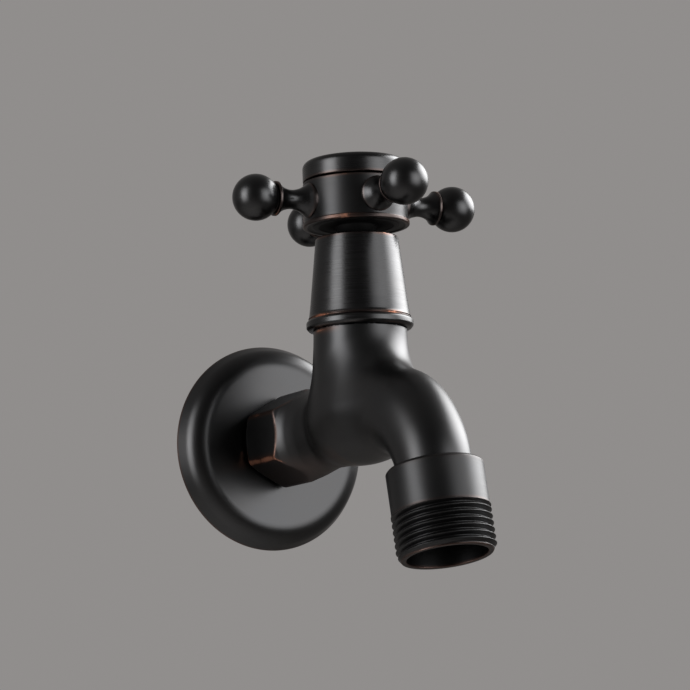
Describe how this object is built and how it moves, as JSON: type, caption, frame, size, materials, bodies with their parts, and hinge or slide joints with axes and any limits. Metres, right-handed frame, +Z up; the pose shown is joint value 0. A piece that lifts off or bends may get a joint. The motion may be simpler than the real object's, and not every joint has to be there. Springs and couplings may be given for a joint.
{
  "type": "wall-mounted hose tap",
  "caption": "Wall tap with a cross handle on a tapered bonnet, a short bent spout with a male hose thread, a hexagon and a round cover flange on a threaded inlet.",
  "frame": {"origin": "centre of the inlet thread's axis on the wall face, which is the plane y = 0", "axes": "+Y into the wall along the inlet, so the tap stands out along -Y; +Z up along the spindle; +X to the right for someone facing the wall"},
  "size_m": [0.073, 0.1226, 0.1156],
  "materials": {
    "dark_bronze": "black oil-rubbed bronze plate over brass, satin, worn to copper on some edges",
    "bare_brass": "turned brass",
    "steel": "stainless steel",
    "ceramic": "lapped white ceramic",
    "rubber": "moulded black rubber",
    "white_plastic": "turned white plastic"
  },
  "bodies": {
    "tap_body": {"body": "dark_bronze", "wall_flange": "dark_bronze", "outlet_adaptor": "dark_bronze", "outlet_washer": "rubber", "bonnet": "dark_bronze", "bonnet_guide_ring": "white_plastic", "cartridge_body": "bare_brass", "cartridge_gasket": "rubber", "fixed_disc": "ceramic", "seat_seal": "rubber", "seal_support": "white_plastic", "friction_washer": "white_plastic"},
    "handle": {"spindle": "bare_brass", "spindle_oring_lower": "rubber", "spindle_oring_upper": "rubber", "spindle_circlip": "steel", "moving_disc": "ceramic", "handle_hub": "dark_bronze", "arm_right": "dark_bronze", "arm_back": "dark_bronze", "arm_left": "dark_bronze", "arm_front": "dark_bronze", "screw_washer": "steel", "handle_screw": "steel", "handle_cap": "dark_bronze", "cap_oring": "rubber"}
  },
  "joints": [
    {"name": "handle_turn", "type": "hinge", "parent": "tap_body", "child": "handle", "pos_m": [0, -0.0553, 0.0608], "axis": [0, 0, 1], "range_deg": [0, 90]}
  ]
}
